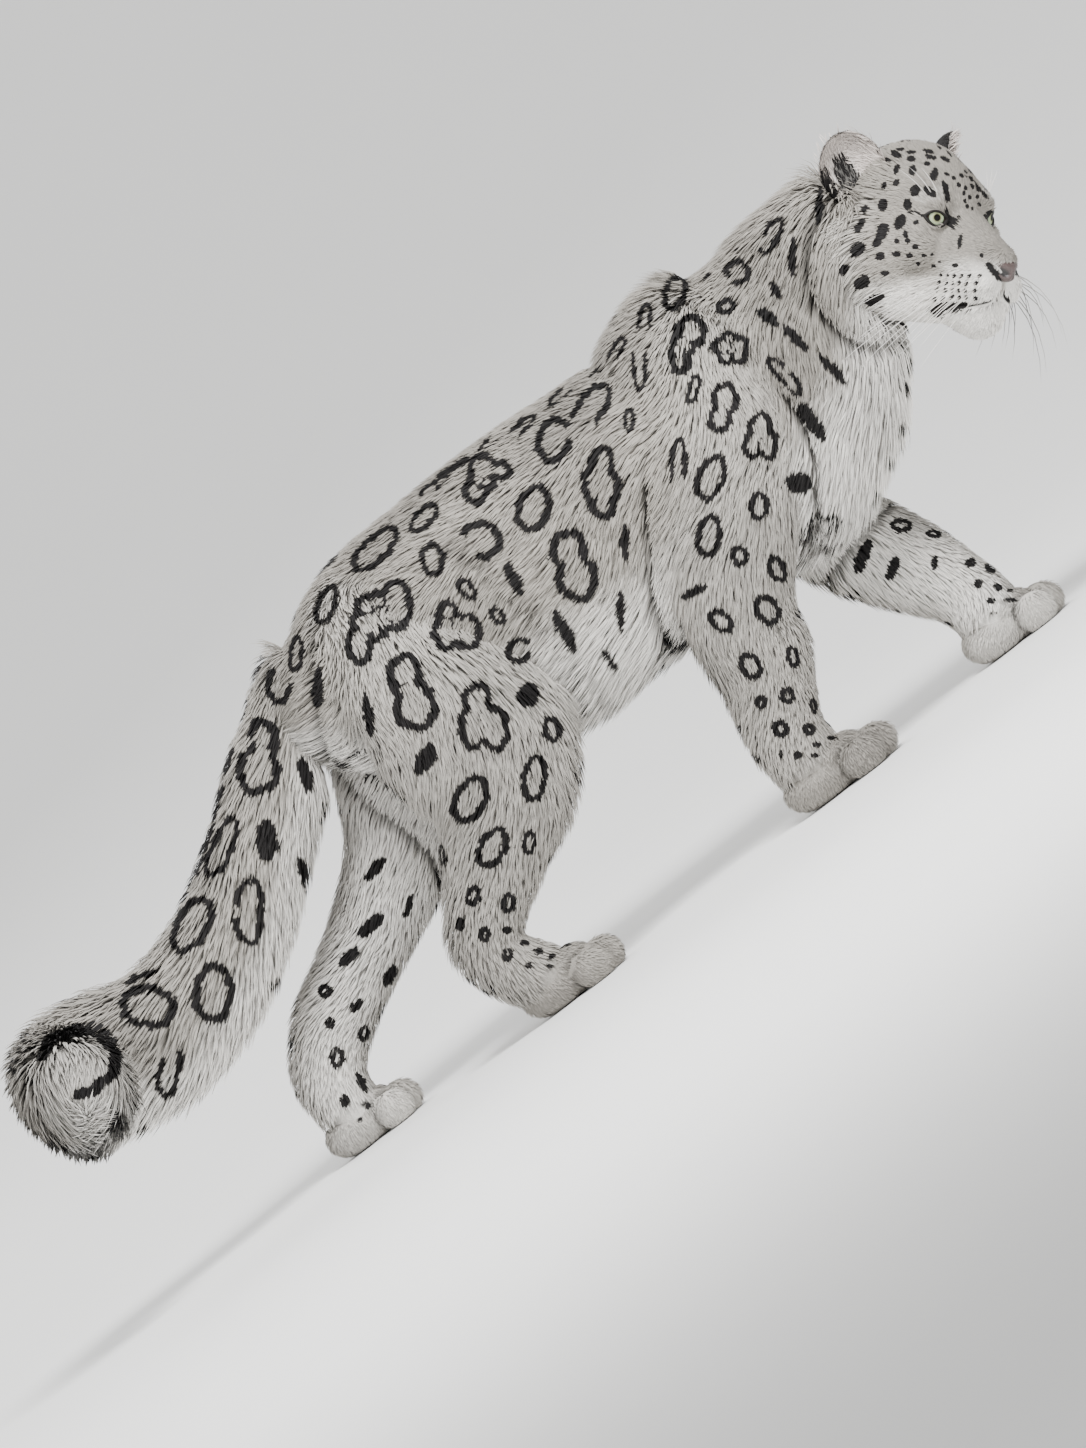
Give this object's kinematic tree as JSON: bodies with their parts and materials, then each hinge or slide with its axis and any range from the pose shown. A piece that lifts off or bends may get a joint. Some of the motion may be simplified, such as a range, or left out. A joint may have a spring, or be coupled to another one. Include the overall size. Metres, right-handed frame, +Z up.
{
  "type": "snow leopard",
  "caption": "Life-size still model of a snow leopard in a slow climbing walk, head low and turned, thick tail held out behind.",
  "frame": {"origin": "on the floor under the middle of the whole animal", "axes": "+X the way the cat walks, +Y its left side, +Z up"},
  "size_m": [1.6156, 0.367, 0.6321],
  "materials": {
    "coat": "long soft fur, smoky grey with dark rosettes",
    "ear": "short soft fur, dark behind and pale inside",
    "nose": "damp bare skin, finely pebbled",
    "eye": "wet, clear over a pale grey-green iris"
  },
  "bodies": {
    "root": {"ear_right": "ear", "eye_right": "eye", "ear_left": "ear", "eye_left": "eye", "head": "coat", "nose": "nose", "tail_1": "coat", "tail_2": "coat", "tail_3": "coat", "tail_4": "coat", "fore_right_upper": "coat", "fore_right_lower": "coat", "fore_right_paw": "coat", "fore_left_upper": "coat", "fore_left_lower": "coat", "fore_left_paw": "coat", "hind_right_upper": "coat", "hind_right_lower": "coat", "hind_right_paw": "coat", "hind_left_upper": "coat", "hind_left_lower": "coat", "hind_left_paw": "coat", "rump": "coat", "belly": "coat", "chest": "coat", "neck": "coat"}
  },
  "joints": []
}
